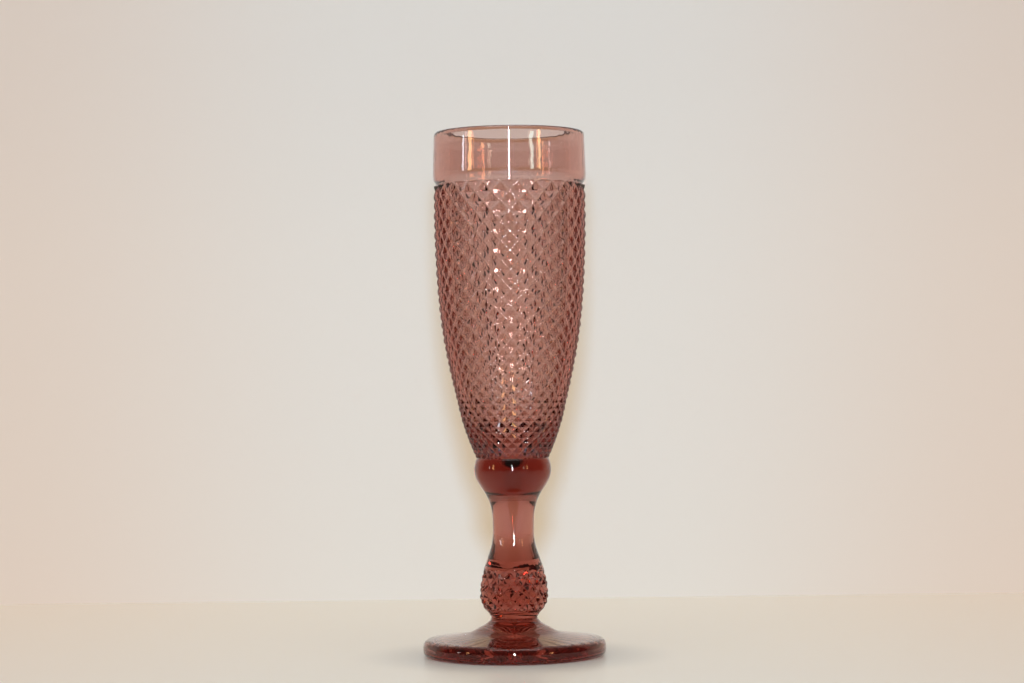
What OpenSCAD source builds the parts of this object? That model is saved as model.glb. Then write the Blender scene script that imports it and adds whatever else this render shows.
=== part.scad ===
// Pressed-glass champagne flute: a tall tapering bowl with a diamond relief,
// a short waisted stem with a diamond knop, and a thick round foot rayed
// beneath. Three pressings joined end to end: bowl, stem and foot.
// Millimetres. +Z is up; the origin is the centre of the resting plane.

/* [Overall] */
// Total height, from the resting plane to the rim
total_h = 205; // [195:1:215]
// Outside diameter of the bowl at its widest
bowl_d = 60; // [54:0.5:66]
// Diameter of the foot
foot_d = 71.6; // [66:0.2:80]

/* [Bowl] */
// Height of the plain band below the rim
rim_band_h = 19.4; // [14:0.2:26]
// Thickness of the wall at the rim
lip_t = 2.2; // [1.8:0.1:3.2]
// Thickness of the wall behind the relief, at mid height
wall_t = 2.9; // [2.4:0.1:4]
// Depth of the groove between the plain band and the relief
groove_d = 0.8; // [0.4:0.1:1.2]
// Height of the joint between bowl and stem
bowl_joint_z = 63; // [62.5:0.5:63.5]

/* [Stem] */
// Diameter at the narrowest place
waist_d = 16.2; // [13:0.1:18]
// Largest diameter of the knop
knop_d = 27.2; // [24:0.2:30]
// Height of the joint between stem and foot
foot_joint_z = 15.2; // [14.8:0.1:15.6]
// Diameter of the neck at that joint
neck_d = 18; // [16:0.2:20]

/* [Foot] */
// Thickness of the foot at its rounded edge
edge_h = 6.8; // [5.5:0.1:8]
// Number of rays pressed into the underside
rays = 32; // [16:4:40]
// Depth of each ray
ray_d = 0.8; // [0.4:0.1:1.2]
// Inner diameter of the flat ring that the glass rests on
rest_ring_d = 61; // [56:0.5:63]
// Height of the hollow inside that ring
hollow_h = 0.7; // [0.5:0.1:1.2]

/* [Hidden] */
$fn = 128;

bowl_r = bowl_d / 2;
foot_r = foot_d / 2;
neck_r = neck_d / 2;
joint_r = 10.6;                      // radius of the bowl to stem joint
k = bowl_r / 30;                     // bowl radii follow its diameter
band_z = total_h - rim_band_h;       // lower edge of the plain band
glass = [0.66, 0.42, 0.40, 0.55];

// One point of a Catmull-Rom curve, at u between b and c
function cr(a, b, c, d, u) =
    0.5 * ((2 * b) + (c - a) * u + (2 * a - 5 * b + 4 * c - d) * u * u
        + (3 * b - a - 3 * c + d) * u * u * u);

// A smooth curve through the points p, with n steps between two of them
function curve(p, n) = [
    for (i = [0 : len(p) - 2], s = [0 : n - 1])
        cr(p[max(i - 1, 0)], p[i], p[i + 1], p[min(i + 2, len(p) - 1)], s / n),
    p[len(p) - 1]
];

// Outside of the collar under the bowl, from the joint upwards
collar_pts = [
    [joint_r, bowl_joint_z], [11.4, 64.3], [12.8, 66.4], [14.4, 69.3],
    [15.1, 72.4], [14.8, 75.2], [14.2, 77.2]
];

// Envelope of the relief: the tips of the diamonds, from the collar upwards
wall_pts = [
    [14.4 * k, 77.4], [17.2 * k, 84], [19.9 * k, 92], [21.8 * k, 100],
    [23.7 * k, 108], [25.9 * k, 119], [27.8 * k, 131.5], [29.1 * k, 146],
    [29.85 * k, 162.5], [30 * k, 174], [30 * k, band_z - 1.6]
];

// Inside of the bowl, from its rounded tip upwards
cavity_pts = [
    [0, 72.6], [1.7, 72.8], [3.2, 73.6], [4.7, 75.2], [6.3, 77.8],
    [8.3, 81.2], [10.9, 85.2], [13.7, 89.6], [16.3 * k, 93.8],
    [23.5 * k - wall_t, 108.6], [27.5 * k - wall_t, 131.9],
    [28.8 * k - wall_t, 146], [29.5 * k - wall_t, 162.6],
    [29.7 * k - wall_t, 175], [29.9 * k - wall_t, 185],
    [bowl_r - lip_t - 0.4, band_z + 4.9],
    [bowl_r - lip_t - 0.6, total_h - 6], [bowl_r - lip_t - 0.7, total_h - 1.5]
];

// Outside of the stem, from the foot joint upwards: knop, shoulder and waist
knop_r = knop_d / 2;
waist_r = waist_d / 2;
stem_pts = [
    [neck_r, foot_joint_z], [neck_r + 1.2, 17.0], [knop_r - 1.2, 19.4],
    [knop_r - 0.15, 22], [knop_r, 25], [knop_r - 0.3, 28.2],
    [knop_r - 1.1, 31.9], [knop_r - 2.5, 35.8], [waist_r + 1.7, 39.6],
    [waist_r + 0.6, 43], [waist_r, 47], [waist_r, 52], [waist_r + 0.2, 55.6],
    [waist_r + 0.7, 58.4], [joint_r - 1.1, 60.7], [joint_r, bowl_joint_z]
];

// Top of the foot, from its edge up the cone to the stem joint
foot_top_pts = [
    [foot_r - 2.2, edge_h], [foot_r - 9, edge_h + 0.9],
    [19.5, edge_h + 2.0], [16.5, edge_h + 2.9], [13.6, edge_h + 4.5],
    [11.2, edge_h + 5.8], [9.5, edge_h + 7.2], [neck_r, foot_joint_z]
];

// The bowl with its solid base and smooth collar
module bowl() {
    color(glass)
    rotate_extrude()
    polygon(concat(
        [[0, bowl_joint_z]],
        curve(collar_pts, 3),
        curve(wall_pts, 3),
        [
            [bowl_r - groove_d, band_z - 0.9],
            [bowl_r - groove_d, band_z - 0.5],
            [bowl_r - 0.3, band_z + 0.1], [bowl_r, band_z + 0.9],
            [bowl_r, band_z + 4], [bowl_r - 0.28, total_h - 6.5],
            [bowl_r - 0.42, total_h - 1.7], [bowl_r - 0.62, total_h - 0.75],
            [bowl_r - 0.95, total_h - 0.25], [bowl_r - 1.45, total_h],
            [bowl_r - 1.9, total_h], [bowl_r - lip_t - 0.2, total_h - 0.2],
            [bowl_r - lip_t - 0.55, total_h - 0.7]
        ],
        [for (i = [0 : 3 * (len(cavity_pts) - 1)])
            curve(cavity_pts, 3)[3 * (len(cavity_pts) - 1) - i]]
    ));
}

// The solid stem: waist above, knop below
module stem() {
    color(glass)
    rotate_extrude()
    polygon(concat(
        [[0, foot_joint_z]],
        curve(stem_pts, 3),
        [[0, bowl_joint_z]]
    ));
}

// The hollowed underside, and one V-shaped ray for each step round it
module underside() {
    rr = rest_ring_d / 2;
    translate([0, 0, -1])
        cylinder(h = 1 + hollow_h, r1 = rr + 0.6, r2 = rr - 0.4);
    for (i = [0 : rays - 1])
        rotate([0, 0, 360 * i / rays])
        translate([13.5, 0, hollow_h - 0.2])
        rotate([90, 0, 90])
        linear_extrude(rr - 15)
            polygon([[-1.1, 0], [1.1, 0], [0, ray_d + 0.2]]);
}

// The thick round foot and its short cone
module foot() {
    color(glass)
    difference() {
        rotate_extrude()
        polygon(concat(
            [
                [0, 0], [foot_r - 1.9, 0], [foot_r - 0.8, 0.6],
                [foot_r - 0.2, 1.7], [foot_r, 3.1], [foot_r - 0.05, 4.5],
                [foot_r - 0.5, 5.7], [foot_r - 1.2, edge_h - 0.3]
            ],
            curve(foot_top_pts, 3),
            [[0, foot_joint_z]]
        ));
        underside();
    }
}

bowl();
stem();
foot();
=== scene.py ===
# Champagne flute in pressed glass: three fused pressings around the CAD frame.
import math

import bpy
import numpy as np
from mathutils import Matrix, Vector


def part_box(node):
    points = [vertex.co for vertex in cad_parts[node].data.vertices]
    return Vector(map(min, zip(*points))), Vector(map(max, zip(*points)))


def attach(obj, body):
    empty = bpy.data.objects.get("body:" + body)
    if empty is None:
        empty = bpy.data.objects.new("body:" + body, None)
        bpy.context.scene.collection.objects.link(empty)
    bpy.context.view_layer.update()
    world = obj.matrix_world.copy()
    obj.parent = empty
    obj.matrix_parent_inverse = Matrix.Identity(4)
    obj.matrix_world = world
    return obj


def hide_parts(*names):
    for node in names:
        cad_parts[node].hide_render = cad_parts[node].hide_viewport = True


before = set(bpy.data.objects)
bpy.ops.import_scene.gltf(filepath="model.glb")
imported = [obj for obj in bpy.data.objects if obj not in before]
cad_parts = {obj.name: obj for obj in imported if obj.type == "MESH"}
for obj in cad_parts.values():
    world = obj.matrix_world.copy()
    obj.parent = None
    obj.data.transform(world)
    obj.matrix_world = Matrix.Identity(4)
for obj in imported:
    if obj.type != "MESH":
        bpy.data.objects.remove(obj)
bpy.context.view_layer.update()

MM = 0.001

# ---------------------------------------------------------------- sizes (mm)
BOWL_Z0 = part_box("bowl")[0][2] * 1000.0        # joint under the collar
RIM_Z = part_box("bowl")[1][2] * 1000.0          # top of the rim
STEM_Z0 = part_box("stem")[0][2] * 1000.0        # joint above the foot
FOOT_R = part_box("foot")[1][0] * 1000.0
LAP = 0.05                                     # fused faces run into each other


def curve(points, n):
    """Smooth line through points, n steps between two of them."""
    p = [np.array(q, float) for q in points]
    out = []
    for i in range(len(p) - 1):
        a, b, c = p[max(i - 1, 0)], p[i], p[i + 1]
        d = p[min(i + 2, len(p) - 1)]
        for s in range(n):
            u = s / n
            out.append(
                0.5 * (2 * b + (c - a) * u + (2 * a - 5 * b + 4 * c - d) * u * u
                       + (3 * b - a - 3 * c + d) * u ** 3)
            )
    out.append(p[-1])
    return np.array(out)


class Shell:
    """Vertices and faces of one closed piece, in millimetres."""

    def __init__(self):
        self.v = []
        self.f = []
        self.painted_shade = []                         # 0 on plain surfaces, 1 on the facets: weight of the painted shade

    def add(self, x, y, z, painted_shade=0.0):
        self.v.append((x, y, z))
        self.painted_shade.append(painted_shade)
        return len(self.v) - 1

    def ring(self, r, z, angles, painted_shade=0.0):
        return [self.add(r * math.cos(t), r * math.sin(t), z, painted_shade) for t in angles]

    def join(self, a, b):
        n = len(a)
        for i in range(n):
            j = (i + 1) % n
            self.f.append((a[i], a[j], b[j], b[i]))

    def cap(self, ring, z):
        c = self.add(0.0, 0.0, z)
        n = len(ring)
        for i in range(n):
            self.f.append((ring[i], ring[(i + 1) % n], c))

    def build(self, name):
        v = np.array(self.v) * MM
        me = bpy.data.meshes.new(name)
        me.from_pydata([tuple(q) for q in v], [], self.f)
        me.validate(clean_customdata=False)
        import bmesh
        bm = bmesh.new()
        bm.from_mesh(me)
        bmesh.ops.recalc_face_normals(bm, faces=bm.faces)
        bmesh.ops.triangulate(bm, faces=bm.faces, quad_method="SHORT_EDGE")
        if bm.calc_volume(signed=True) < 0:
            bmesh.ops.reverse_faces(bm, faces=bm.faces)
        open_edges = sum(1 for e in bm.edges if not e.is_manifold)
        vol = bm.calc_volume() * 1e6
        bm.to_mesh(me)
        bm.free()
        me.update()
        # large facets keep their own normals, narrow edges carry the rounding
        co = np.empty(len(me.vertices) * 3)
        me.vertices.foreach_get("co", co)
        co = co.reshape(-1, 3)
        idx = np.empty(len(me.polygons) * 3, dtype=np.int64)
        me.polygons.foreach_get("vertices", idx)
        idx = idx.reshape(-1, 3)
        cr = np.cross(co[idx[:, 1]] - co[idx[:, 0]], co[idx[:, 2]] - co[idx[:, 0]])
        nv = np.zeros_like(co)
        for k in range(3):
            np.add.at(nv, idx[:, k], cr)
        nv /= np.maximum(np.linalg.norm(nv, axis=1, keepdims=True), 1e-20)
        me.polygons.foreach_set("use_smooth", np.ones(len(me.polygons), bool))
        me.normals_split_custom_set_from_vertices([tuple(q) for q in nv])
        at = me.attributes.new("painted_shade", "FLOAT", "POINT")
        at.data.foreach_set("value", np.array(self.painted_shade, dtype=np.float32))
        ob = bpy.data.objects.new(name, me)
        bpy.context.scene.collection.objects.link(ob)
        print(name, "tris", len(me.polygons), "open edges", open_edges,
              "volume cm3", round(vol, 2))
        return ob


def relief(sh, n, z_of, r_of, depth, phi0, phi1, turn):
    """Diamonds between two crossing families of V-grooves.

    Apexes lie where x and phi are both whole or both half; each diamond is a
    set of square rings from its grooves up to its apex.  Returns the two
    boundary rings (vertex, angle), at phi0 and at phi1.
    """
    seen = {}
    levels = [0.0, 0.06, 0.13, 0.32, 0.8]
    g, a = 0.13, 0.7

    def height(t):
        if t < g:
            return g / 2 + t * t / (2 * g)
        if t > a:
            return t - (t - a) ** 2 / (2 * (1 - a))
        return t

    def vert(x, phi, t, soft):
        key = (int(round((x % n) * 2e4)) % (n * 20000), int(round(phi * 2e4)))
        if key in seen:
            return seen[key]
        z = z_of(phi)
        r = r_of(z)
        e = 0.05
        slope = (r_of(z + e) - r_of(z - e)) / (2 * e)
        ln = math.hypot(1, slope)
        d = depth * (r / r_of(z_of((phi0 + phi1) / 2) if n < 20 else 170.0))
        d *= 1 - height(t) + soft
        ang = turn + 2 * math.pi * x / n
        rr = r - d / ln
        zz = z + d * slope / ln
        # the outer rows end on a level line
        if abs(phi - phi0) < 1e-6 or abs(phi - phi1) < 1e-6:
            zz = z
        # painted shade weight: 0.7 in the grooves, rising to 1 over the facets
        i = sh.add(rr * math.cos(ang), rr * math.sin(ang), zz,
                   0.7 + 0.3 * min(max((t - 0.04) / 0.3, 0.0), 1.0))
        seen[key] = i
        return i

    phi = phi0
    while phi < phi1 + 1e-6:
        half = abs(phi - round(phi)) > 0.25
        for k in range(n):
            xa = k + (0.5 if half else 0.0)
            rings = []
            for t in levels:
                w = (1 - t) / 2
                dl = min(0.045, 0.34 * w)
                pts = [
                    (w, w, 1), (w, w - dl, 0), (w, -w + dl, 0),
                    (w, -w, 1), (w - dl, -w, 0), (-w + dl, -w, 0),
                    (-w, -w, 1), (-w, -w + dl, 0), (-w, w - dl, 0),
                    (-w, w, 1), (-w + dl, w, 0), (w - dl, w, 0),
                ]
                row = []
                for du, dv, corner in pts:
                    dx, dp = (du + dv) / 2, (du - dv) / 2
                    if phi + dp < phi0 - 1e-6 or phi + dp > phi1 + 1e-6:
                        row.append(None)
                        continue
                    soft = 0.012 if (corner and t > 0.1) else 0.0
                    row.append(vert(xa + dx, phi + dp, t, soft))
                rings.append(row)
            top = vert(xa, phi, 1.0, 0.0)
            m = 12
            for a_, b_ in zip(rings[:-1], rings[1:]):
                for i in range(m):
                    j = (i + 1) % m
                    q = (a_[i], a_[j], b_[j], b_[i])
                    if None not in q:
                        sh.f.append(q)
            for i in range(m):
                j = (i + 1) % m
                q = (rings[-1][i], rings[-1][j], top)
                if None not in q:
                    sh.f.append(q)
        phi += 0.5

    def edge(at):
        got = [(kx / 20000.0, i) for (kx, kp), i in seen.items()
               if kp == int(round(at * 2e4))]
        got.sort()
        return [i for _, i in got], [turn + 2 * math.pi * x / n for x, _ in got]

    return edge(phi0), edge(phi1)


FRONT = -math.pi / 2                           # the side that faces the camera

# ---------------------------------------------------------------- the bowl
joint_r = 10.6
collar = curve([
    (joint_r, BOWL_Z0), (11.4, 64.3), (12.8, 66.4), (14.4, 69.3),
    (15.1, 72.4), (14.8, 75.2), (14.2, 77.0)], 6)
wall = curve([
    (14.4, 77.4), (17.2, 84), (19.9, 92), (21.8, 100), (23.7, 108),
    (26.0, 119), (27.9, 131.5), (29.2, 146), (29.95, 162.5), (30.1, 174),
    (30.0, 183.8)], 12)
rows = curve([
    (-1, 183.8), (2, 160.9), (5, 139.0), (8, 120.2), (11, 103.6),
    (14, 89.5), (17, 77.6)], 16)


def wall_r(z):
    return float(np.interp(z, wall[:, 1], wall[:, 0]))


def wall_z(phi):
    return float(np.interp(phi, rows[:, 0], rows[:, 1]))


def make_bowl():
    sh = Shell()
    (top, ta), (low, la) = relief(
        sh, 26, wall_z, wall_r, 1.5, -1.0, 17.0, FRONT + math.radians(-0.15))
    # downwards: collar and the fused face
    prev = low
    below = [(13.95, 77.35), (13.95, 77.2)] + [tuple(p) for p in collar[::-1][1:]]
    below = below[:-1] + [(joint_r + 0.02, BOWL_Z0 + 0.25), (joint_r - 0.02, BOWL_Z0 - LAP + 0.08),
                          (joint_r - 0.12, BOWL_Z0 - LAP), (joint_r - 0.6, BOWL_Z0 - LAP),
                          (6.0, BOWL_Z0 - LAP), (2.5, BOWL_Z0 - LAP)]
    for r, z in below:
        cur = sh.ring(r, z, la)
        sh.join(prev, cur)
        prev = cur
    sh.cap(prev, BOWL_Z0 - LAP)
    # upwards: groove, plain band, rim and the inside
    prev = top
    band = 185.6
    outer = [(28.95, 184.1), (28.85, 184.4), (28.95, 184.8), (29.25, 185.3),
             (29.58, 185.9), (29.84, 186.6), (29.98, 187.5), (30.02, 188.6),
             (30.0, 190), (29.95, 191.6), (29.88, 193.5), (29.8, 196),
             (29.72, 198.5), (29.65, 200.6), (29.6, 202.2), (29.56, 203.3),
             (29.5, 203.8), (29.38, 204.25), (29.18, 204.6), (28.9, 204.86),
             (28.55, 205.0), (28.1, 205.0), (27.75, 204.88), (27.48, 204.64),
             (27.28, 204.3), (27.16, 203.9)]
    plain = [(27.1, 203.3, 0), (27.12, 201.2, 0), (27.15, 199.9, 0),
             (27.16, 199.6, 0.48), (27.2, 198, 0.48), (27.32, 194, 0.48),
             (27.42, 190.5, 0.48), (27.41, 188.9, 0.48), (27.38, 188.6, 0)]
    for r, z in outer:
        cur = sh.ring(r, z, ta)
        sh.join(prev, cur)
        prev = cur
    for r, z, painted_shade in plain:                   # painted shade at part weight on the inner band below the lip
        cur = sh.ring(r, z, ta, painted_shade)
        sh.join(prev, cur)
        prev = cur
    inner = curve([
        (27.3, 188.0), (27.15, 186.8), (26.95, 184.5), (26.8, 175),
        (26.6, 162.6), (25.9, 146), (24.6, 131.9),
        (20.6, 108.6), (16.3, 93.8), (13.7, 89.6), (10.9, 85.2),
        (8.3, 81.2), (6.3, 77.8), (4.7, 75.2), (3.2, 73.6), (1.7, 72.8), (0.8, 72.65)], 5)
    for r, z in inner:
        cur = sh.ring(r, z, ta)
        sh.join(prev, cur)
        prev = cur
    sh.cap(prev, 72.6)
    return sh.build("pressed_bowl")


# ---------------------------------------------------------------- the stem
stem_line = curve([
    (9.0, STEM_Z0), (10.2, 17.0), (12.4, 19.4), (13.45, 22), (13.6, 25),
    (13.3, 28.2), (12.5, 31.9), (11.1, 35.8), (9.8, 39.6), (8.7, 43),
    (8.1, 47), (8.1, 52), (8.3, 55.6), (8.8, 58.4), (9.5, 60.7), (joint_r, BOWL_Z0)], 8)
knop_rows = curve([
    (-1, 33.4), (-0.5, 30.9), (0, 28.2), (0.5, 25.6), (1.0, 23.1),
    (1.5, 20.8), (2.0, 18.8)], 12)


def stem_r(z):
    return float(np.interp(z, stem_line[:, 1], stem_line[:, 0]))


def knop_z(phi):
    return float(np.interp(phi, knop_rows[:, 0], knop_rows[:, 1]))


def make_stem():
    sh = Shell()
    (top, ta), (low, la) = relief(
        sh, 16, knop_z, stem_r, 1.15, -1.0, 2.0, FRONT + math.radians(4.0))
    prev = top
    up = [tuple(p) for p in stem_line if p[1] > 33.75]
    up = up[:-1] + [(joint_r - 0.03, BOWL_Z0 - 0.08), (joint_r - 0.15, BOWL_Z0),
                    (joint_r - 0.6, BOWL_Z0), (6.0, BOWL_Z0), (2.5, BOWL_Z0)]
    for r, z in up:
        cur = sh.ring(r, z, ta)
        sh.join(prev, cur)
        prev = cur
    sh.cap(prev, BOWL_Z0)
    prev = low
    down = [tuple(p) for p in stem_line[::-1] if p[1] < 18.6]
    down = down[:-1] + [(8.98, STEM_Z0 + 0.02), (8.85, STEM_Z0 - LAP),
                        (8.4, STEM_Z0 - LAP), (6.0, STEM_Z0 - LAP),
                        (2.5, STEM_Z0 - LAP)]
    for r, z in down:
        cur = sh.ring(r, z, la)
        sh.join(prev, cur)
        prev = cur
    sh.cap(prev, STEM_Z0 - LAP)
    return sh.build("pressed_stem")


# ---------------------------------------------------------------- the foot
def make_foot():
    sh = Shell()
    n = 32 * 10
    ang = [FRONT + math.radians(5.6) + 2 * math.pi * i / n for i in range(n)]
    e = 6.8
    top = curve([
        (FOOT_R - 2.2, e), (FOOT_R - 9, e + 0.9), (19.5, e + 2.0),
        (16.5, e + 2.9), (13.6, e + 4.5), (11.2, e + 5.8), (9.5, e + 7.2),
        (9.0, STEM_Z0)], 6)
    edge = curve([
        (FOOT_R - 1.9, 0.0), (FOOT_R - 0.8, 0.55), (FOOT_R - 0.2, 1.7),
        (FOOT_R, 3.1), (FOOT_R - 0.05, 4.5), (FOOT_R - 0.5, 5.7),
        (FOOT_R - 1.2, e - 0.4), (FOOT_R - 2.2, e)], 4)

    def ray(r, i):
        """Height of the underside: V-shaped rays in a shallow hollow."""
        ph = (i % 10) / 10.0
        tri = 1 - abs(2 * ph - 1)
        tri = tri - 0.12 * math.cos(2 * math.pi * ph) * 0.5
        win = min(max((r - 0.6) / 1.2, 0.0), 1.0) * min(max((30.2 - r) / 1.6, 0.0), 1.0)
        return 0.7 + tri * win * min(1.35, 0.05 + 0.095 * r)

    rings = []
    rings.append(sh.ring(2.0, STEM_Z0, ang))
    rings.append(sh.ring(6.0, STEM_Z0, ang))
    rings.append(sh.ring(8.6, STEM_Z0, ang))
    rings.append(sh.ring(8.93, STEM_Z0 - 0.04, ang))
    for r, z in list(top[::-1])[1:]:
        rings.append(sh.ring(r, z, ang))
    for r, z in list(edge[::-1])[1:]:
        rings.append(sh.ring(r, z, ang))
    for r, z in [(33.4, 0.0), (31.4, 0.0), (31.0, 0.03), (30.7, 0.14), (30.5, 0.32), (30.3, 0.55)]:
        rings.append(sh.ring(r, z, ang))
    for r in [30.1, 29.6, 29.0, 28.4, 27.4, 25.5, 23, 20.5, 18, 15.5, 13, 11, 9.5, 8, 6.5, 5, 3.5, 2.4, 1.5, 0.8]:
        rings.append([sh.add(r * math.cos(t), r * math.sin(t), ray(r, i))
                      for i, t in enumerate(ang)])
    for a, b in zip(rings[:-1], rings[1:]):
        sh.join(a, b)
    sh.cap(rings[0], STEM_Z0)
    sh.cap(rings[-1], 0.7)
    return sh.build("pressed_foot")


# ---------------------------------------------------------------- glass
FILM_IOR = 1.63


def glass(name, tint, facet_shade, film, density, seed):
    """Dusty-rose pressed glass: depth colour, painted shade on the facets, fire-polish ripple, light wear."""
    m = bpy.data.materials.new(name)
    m.use_nodes = True
    nt = m.node_tree
    nt.nodes.clear()
    out = nt.nodes.new("ShaderNodeOutputMaterial")
    p = nt.nodes.new("ShaderNodeBsdfPrincipled")
    p.inputs["Transmission Weight"].default_value = 1.0
    p.inputs["IOR"].default_value = 1.5
    p.inputs["Metallic"].default_value = 0.0
    nt.links.new(p.outputs[0], out.inputs["Surface"])
    tc = nt.nodes.new("ShaderNodeTexCoord")
    # colour: faint cords in the melt
    n1 = nt.nodes.new("ShaderNodeTexNoise")
    n1.inputs["Scale"].default_value = 28.0 + seed
    n1.inputs["Detail"].default_value = 2.0
    nt.links.new(tc.outputs["Object"], n1.inputs["Vector"])
    ramp = nt.nodes.new("ShaderNodeValToRGB")
    ramp.color_ramp.elements[0].position = 0.3
    ramp.color_ramp.elements[1].position = 0.7
    lo = [c * 0.975 for c in tint]
    ramp.color_ramp.elements[0].color = (*lo, 1)
    ramp.color_ramp.elements[1].color = (*tint, 1)
    nt.links.new(n1.outputs["Fac"], ramp.inputs["Fac"])
    # painted shade: the base colour is darkened on the facets, a little less in the grooves and on the inner
    # band, for the darker look of the relief
    at = nt.nodes.new("ShaderNodeAttribute")
    at.attribute_name = "painted_shade"
    mul = nt.nodes.new("ShaderNodeMix")
    mul.data_type = "RGBA"
    mul.blend_type = "MULTIPLY"
    mul.inputs[7].default_value = (*facet_shade, 1)
    nt.links.new(at.outputs["Fac"], mul.inputs[0])
    nt.links.new(ramp.outputs["Color"], mul.inputs[6])
    nt.links.new(mul.outputs[2], p.inputs["Base Color"])
    # roughness: polished, slightly dulled in patches
    n2 = nt.nodes.new("ShaderNodeTexNoise")
    n2.inputs["Scale"].default_value = 90.0
    n2.inputs["Detail"].default_value = 4.0
    nt.links.new(tc.outputs["Object"], n2.inputs["Vector"])
    mr = nt.nodes.new("ShaderNodeMapRange")
    mr.inputs["From Min"].default_value = 0.35
    mr.inputs["From Max"].default_value = 0.8
    mr.inputs["To Min"].default_value = 0.0
    mr.inputs["To Max"].default_value = 0.03
    nt.links.new(n2.outputs["Fac"], mr.inputs["Value"])
    nt.links.new(mr.outputs["Result"], p.inputs["Roughness"])
    # relief: long shallow ripples left by the mould and the fire polish
    n3 = nt.nodes.new("ShaderNodeTexNoise")
    n3.inputs["Scale"].default_value = 140.0
    n3.inputs["Detail"].default_value = 1.0
    nt.links.new(tc.outputs["Object"], n3.inputs["Vector"])
    b = nt.nodes.new("ShaderNodeBump")
    b.inputs["Strength"].default_value = 0.35
    b.inputs["Distance"].default_value = 0.00012
    nt.links.new(n3.outputs["Fac"], b.inputs["Height"])
    nt.links.new(b.outputs["Normal"], p.inputs["Normal"])
    # a thin fired-on lustre: pale mauve in reflection, brownish in the glass
    sep = nt.nodes.new("ShaderNodeSeparateXYZ")
    nt.links.new(tc.outputs["Object"], sep.inputs[0])
    fz = nt.nodes.new("ShaderNodeMapRange")
    fz.inputs["From Min"].default_value = 0.0775
    fz.inputs["From Max"].default_value = 0.0790
    fz.inputs["To Min"].default_value = 0.0
    fz.inputs["To Max"].default_value = film
    nt.links.new(sep.outputs["Z"], fz.inputs["Value"])
    nt.links.new(fz.outputs["Result"], p.inputs["Thin Film Thickness"])
    p.inputs["Thin Film IOR"].default_value = FILM_IOR
    va = nt.nodes.new("ShaderNodeVolumeAbsorption")
    va.inputs["Color"].default_value = (0.68, 0.20, 0.09, 1)
    va.inputs["Density"].default_value = density
    nt.links.new(va.outputs[0], out.inputs["Volume"])
    return m


glassware = bpy.data.collections.new("glassware")     # what the glint lamps reach
for maker, node, slot, tint, facet_shade, film, density, seed in (
    (make_bowl, "bowl", "bowl_glass", (1.0, 0.985, 0.98), (0.815, 0.655, 0.61), 54.0, 185.0, 0.0),
    (make_stem, "stem", "stem_glass", (1.0, 0.985, 0.98), (0.97, 0.93, 0.92), 0.0, 135.0, 5.0),
    (make_foot, "foot", "foot_glass", (1.0, 0.985, 0.98), (1.0, 1.0, 1.0), 0.0, 84.0, 9.0),
):
    ob = maker()
    glassware.objects.link(ob)
    ob.data.materials.append(glass("rose_" + slot, tint, facet_shade, film, density, seed))
    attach(ob, "root")
    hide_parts(node)

# ---------------------------------------------------------------- stage


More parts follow.
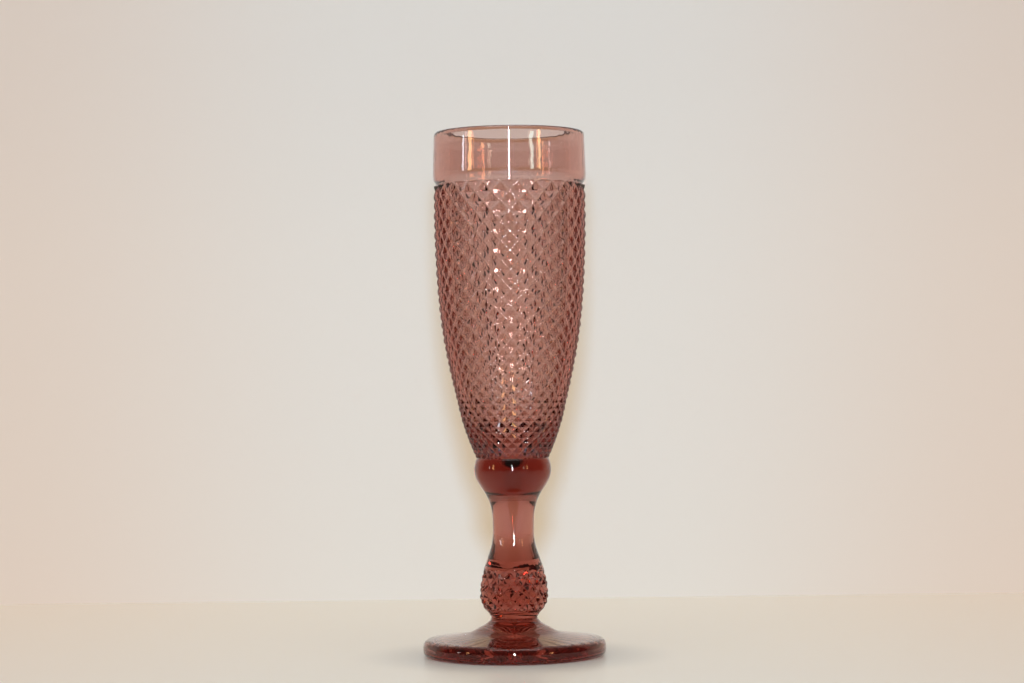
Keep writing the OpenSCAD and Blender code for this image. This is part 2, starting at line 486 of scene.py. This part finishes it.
def stage_material(name, near, far, emit, glow, rough, backless=False):
    """Matt stage surface that also glows: painted light brightest round the glass, dimmer with distance and
    height, with a warmer, darker colour painted away from the glass.
    """
    m = bpy.data.materials.new(name)
    m.use_nodes = True
    nt = m.node_tree
    nt.nodes.clear()
    out = nt.nodes.new("ShaderNodeOutputMaterial")
    g = nt.nodes.new("ShaderNodeNewGeometry")
    ln = nt.nodes.new("ShaderNodeVectorMath")
    ln.operation = "LENGTH"
    nt.links.new(g.outputs["Position"], ln.inputs[0])
    xyz = nt.nodes.new("ShaderNodeSeparateXYZ")
    nt.links.new(g.outputs["Position"], xyz.inputs[0])
    ab = nt.nodes.new("ShaderNodeMath")
    ab.operation = "ABSOLUTE"
    nt.links.new(xyz.outputs["X"], ab.inputs[0])
    # painted warm falloff of light: the colour turns warmer and darker away from the glass
    warm = nt.nodes.new("ShaderNodeMapRange")
    warm.interpolation_type = "SMOOTHSTEP"
    warm.inputs["From Min"].default_value = 0.06
    warm.inputs["From Max"].default_value = 0.26
    nt.links.new(ab.outputs[0], warm.inputs["Value"])
    # painted light: the glow is a little weaker higher up
    hi = nt.nodes.new("ShaderNodeMapRange")
    hi.interpolation_type = "SMOOTHSTEP"
    hi.inputs["From Min"].default_value = 0.14
    hi.inputs["From Max"].default_value = 0.30
    hi.inputs["To Min"].default_value = 1.0
    hi.inputs["To Max"].default_value = 0.90
    nt.links.new(xyz.outputs["Z"], hi.inputs["Value"])
    mx = nt.nodes.new("ShaderNodeMix")
    mx.data_type = "RGBA"
    mx.inputs[6].default_value = (*near, 1)
    mx.inputs[7].default_value = (*far, 1)
    nt.links.new(warm.outputs["Result"], mx.inputs[0])
    # painted pool of light: the glow fades with distance from the glass
    dim = nt.nodes.new("ShaderNodeMapRange")
    dim.interpolation_type = "SMOOTHSTEP"
    dim.inputs["From Min"].default_value = 0.40
    dim.inputs["From Max"].default_value = 1.30
    dim.inputs["To Min"].default_value = emit
    dim.inputs["To Max"].default_value = emit * 0.3
    nt.links.new(ln.outputs["Value"], dim.inputs["Value"])
    both = nt.nodes.new("ShaderNodeMath")
    both.operation = "MULTIPLY"
    nt.links.new(dim.outputs["Result"], both.inputs[0])
    nt.links.new(hi.outputs["Result"], both.inputs[1])
    # a soft contact shadow round the foot, and less light nearer the front
    for sock, a0, a1, b0, b1 in ((ln.outputs["Value"], 0.034, 0.066, 0.36, 1.0),
                                 (xyz.outputs["Y"], -0.45, -0.12, 0.45, 1.0)):
        fall = nt.nodes.new("ShaderNodeMapRange")
        fall.interpolation_type = "SMOOTHSTEP"
        fall.inputs["From Min"].default_value = a0
        fall.inputs["From Max"].default_value = a1
        fall.inputs["To Min"].default_value = b0
        fall.inputs["To Max"].default_value = b1
        nt.links.new(sock, fall.inputs["Value"])
        more = nt.nodes.new("ShaderNodeMath")
        more.operation = "MULTIPLY"
        nt.links.new(both.outputs[0], more.inputs[0])
        nt.links.new(fall.outputs["Result"], more.inputs[1])
        both = more
    d = nt.nodes.new("ShaderNodeBsdfPrincipled")
    d.inputs["Roughness"].default_value = rough
    d.inputs["Specular IOR Level"].default_value = 0.3
    nt.links.new(mx.outputs[2], d.inputs["Base Color"])
    # painted light: the surface glows in its own colour times glow
    gl = nt.nodes.new("ShaderNodeMix")
    gl.data_type = "RGBA"
    gl.blend_type = "MULTIPLY"
    gl.inputs[0].default_value = 1.0
    gl.inputs[7].default_value = (*glow, 1)
    nt.links.new(mx.outputs[2], gl.inputs[6])
    nt.links.new(gl.outputs[2], d.inputs["Emission Color"])
    nt.links.new(both.outputs[0], d.inputs["Emission Strength"])
    last = d.outputs[0]
    if backless:
        t = nt.nodes.new("ShaderNodeBsdfTransparent")
        mix = nt.nodes.new("ShaderNodeMixShader")
        nt.links.new(g.outputs["Backfacing"], mix.inputs[0])
        nt.links.new(last, mix.inputs[1])
        nt.links.new(t.outputs[0], mix.inputs[2])
        last = mix.outputs[0]
    nt.links.new(last, out.inputs["Surface"])
    return m


def plane(name, corners, mat):
    me = bpy.data.meshes.new(name)
    me.from_pydata(corners, [], [(0, 1, 2, 3)])
    me.materials.append(mat)
    ob = bpy.data.objects.new(name, me)
    bpy.context.scene.collection.objects.link(ob)
    return ob


WALL_Y = 0.25
plane("table", [(-2.2, -2.2, 0), (2.2, -2.2, 0), (2.2, 2.2, 0), (-2.2, 2.2, 0)],
      stage_material("table_top", (0.67, 0.63, 0.555), (0.67, 0.60, 0.52), 0.335,
                     (0.918, 0.834, 0.717), 0.32))
plane("wall", [(-1.3, WALL_Y, 0.0), (1.3, WALL_Y, 0.0), (1.3, WALL_Y, 1.6), (-1.3, WALL_Y, 1.6)],
      stage_material("wall_paint_and_glow", (0.665, 0.635, 0.59), (0.66, 0.568, 0.494), 0.68,
                     (0.735, 0.583, 0.385), 0.7, backless=True))

world = bpy.data.worlds.new("room")
bpy.context.scene.world = world
world.use_nodes = True
nt = world.node_tree
nt.nodes.clear()
wo = nt.nodes.new("ShaderNodeOutputWorld")
bg = nt.nodes.new("ShaderNodeBackground")
tc = nt.nodes.new("ShaderNodeTexCoord")
sep = nt.nodes.new("ShaderNodeSeparateXYZ")
nt.links.new(tc.outputs["Generated"], sep.inputs[0])
mr = nt.nodes.new("ShaderNodeMapRange")
mr.inputs["From Min"].default_value = -1.0
mr.inputs["From Max"].default_value = 1.0
nt.links.new(sep.outputs["Z"], mr.inputs["Value"])
wr = nt.nodes.new("ShaderNodeValToRGB")
wr.color_ramp.elements[0].position = 0.45
wr.color_ramp.elements[0].color = (0.095, 0.057, 0.048, 1)
wr.color_ramp.elements[1].position = 0.95
wr.color_ramp.elements[1].color = (0.30, 0.28, 0.26, 1)
el = wr.color_ramp.elements.new(0.60)
el.color = (0.100, 0.063, 0.052, 1)
el = wr.color_ramp.elements.new(0.75)
el.color = (0.12, 0.095, 0.08, 1)
nt.links.new(mr.outputs["Result"], wr.inputs["Fac"])
nt.links.new(wr.outputs["Color"], bg.inputs["Color"])
bg.inputs["Strength"].default_value = 1.0
nt.links.new(bg.outputs[0], wo.inputs["Surface"])


def lamp(name, loc, target, size, power, color, shape="DISK", size_y=None, glints=False):
    li = bpy.data.lights.new(name, "AREA")
    li.shape = shape
    li.size = size
    if size_y:
        li.size_y = size_y
    li.energy = power
    li.color = color
    ob = bpy.data.objects.new(name, li)
    bpy.context.scene.collection.objects.link(ob)
    d = Vector(target) - Vector(loc)
    ob.rotation_euler = d.to_track_quat("-Z", "Y").to_euler()
    ob.location = loc
    ob.visible_diffuse = not glints            # seen in the glass only
    if glints:
        ob.light_linking.receiver_collection = glassware
    return ob


lamp("soft_top", (0.0, -0.35, 1.35), (0, 0.1, 0.0), 1.1, 4.6, (1.0, 0.98, 0.95), "RECTANGLE", 0.8)
fill = lamp("flash", (0.0, -0.94, 0.205), (0, 0.25, 0.1), 0.050, 7.2, (0.373, 0.655, 1.0))
fill.visible_glossy = False                    # lights the stage, leaves no glint
fill.visible_transmission = False
lamp("flash_head", (0.0, -0.98, 0.215), (0, 0, 0.12), 0.024, 4.2, (0.97, 0.98, 1.0), "RECTANGLE", 0.39, True)


def around(azimuth, dist, z):
    """A place round the glass; azimuth 0 is towards the camera."""
    t = math.radians(azimuth)
    return (dist * math.sin(t), -dist * math.cos(t), z)


WARM = (1.0, 0.55, 0.22)
lamp("warm_a", around(-61, 1.5, 0.37), (0, 0, 0.18), 0.10, 1.0, WARM, "RECTANGLE", 0.38, True)
lamp("warm_b", around(47, 1.5, 0.37), (0, 0, 0.18), 0.10, 1.15, WARM, "RECTANGLE", 0.38, True)
lamp("pale_c", around(34, 1.5, 0.34), (0, 0, 0.18), 0.05, 0.22, (0.8, 1.0, 0.8), "RECTANGLE", 0.26, True)
lamp("pale_d", around(-74, 1.5, 0.32), (0, 0, 0.18), 0.12, 0.7, (0.95, 0.98, 1.0), "RECTANGLE", 0.22, True)

# ---------------------------------------------------------------- camera
cam = bpy.data.cameras.new("camera")
cam.sensor_width = 36.0
cam.lens = 86.1
cam.clip_start = 0.01
cam.clip_end = 20
co = bpy.data.objects.new("camera", cam)
bpy.context.scene.collection.objects.link(co)
pitch, roll = math.radians(0.924), math.radians(0.66)
f = Vector((0, math.cos(pitch), math.sin(pitch)))
right0 = Vector((1, 0, 0))
up0 = right0.cross(f)
up = math.cos(roll) * up0 + math.sin(roll) * right0
right = math.cos(roll) * right0 - math.sin(roll) * up0
rot = Matrix((right, up, -f)).transposed().to_4x4()
co.matrix_world = Matrix.Translation((0.0003, -0.960, 0.1074)) @ rot
bpy.context.scene.camera = co

sc = bpy.context.scene
sc.view_settings.view_transform = "Standard"
sc.cycles.max_bounces = 32
sc.cycles.transmission_bounces = 28
sc.cycles.glossy_bounces = 12
sc.cycles.transparent_max_bounces = 16
sc.cycles.diffuse_bounces = 3
sc.cycles.sample_clamp_indirect = 60.0
